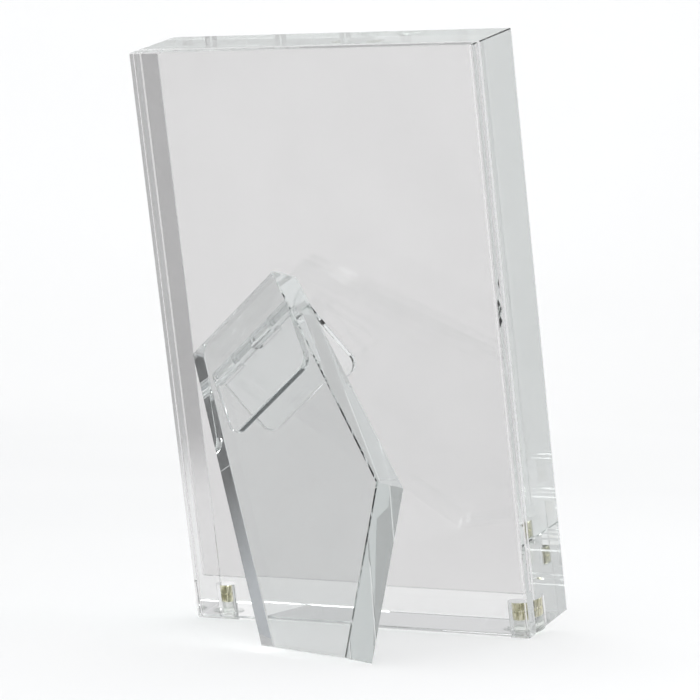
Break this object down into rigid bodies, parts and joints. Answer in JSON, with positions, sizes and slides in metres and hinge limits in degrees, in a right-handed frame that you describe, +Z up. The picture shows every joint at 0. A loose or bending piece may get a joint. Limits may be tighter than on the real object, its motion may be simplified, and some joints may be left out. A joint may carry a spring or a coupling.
{
  "type": "acrylic block photo frame",
  "caption": "Clear acrylic block photo frame, open at the top for a print behind the block, with a hinged leg cut to stand it in portrait or landscape.",
  "frame": {"origin": "middle of the footprint of the frame standing in portrait on its open leg, on the surface that it stands on", "axes": "+Z up, -Y the side where the picture is seen, +Y the back with the leg, +X to the right for a viewer of the picture"},
  "size_m": [0.106, 0.0998, 0.1662],
  "materials": {
    "clear_acrylic": "clear cast sheet with polished faces and edges",
    "clear_hinge": "clear moulded plastic, glossy",
    "clear_foot": "clear turned plastic, slightly soft gloss",
    "brass": "bright brass with straight knurling"
  },
  "bodies": {
    "frame": {"front_block": "clear_acrylic", "back_plate": "clear_acrylic", "spacer_left": "clear_acrylic", "spacer_right": "clear_acrylic", "spacer_bottom": "clear_acrylic", "foot_left": "clear_foot", "foot_right": "clear_foot", "insert_left": "brass", "insert_right": "brass", "hinge_fixed_leaf": "clear_hinge", "hinge_pin": "clear_hinge"},
    "easel": {"hinge_moving_leaf": "clear_hinge", "easel_leg": "clear_acrylic"}
  },
  "joints": [
    {"name": "easel_hinge", "type": "hinge", "parent": "frame", "child": "easel", "pos_m": [0.017, -0.00433, 0.07963], "axis": [-0.766, 0.1466, 0.6259], "range_deg": [0, 34]}
  ]
}
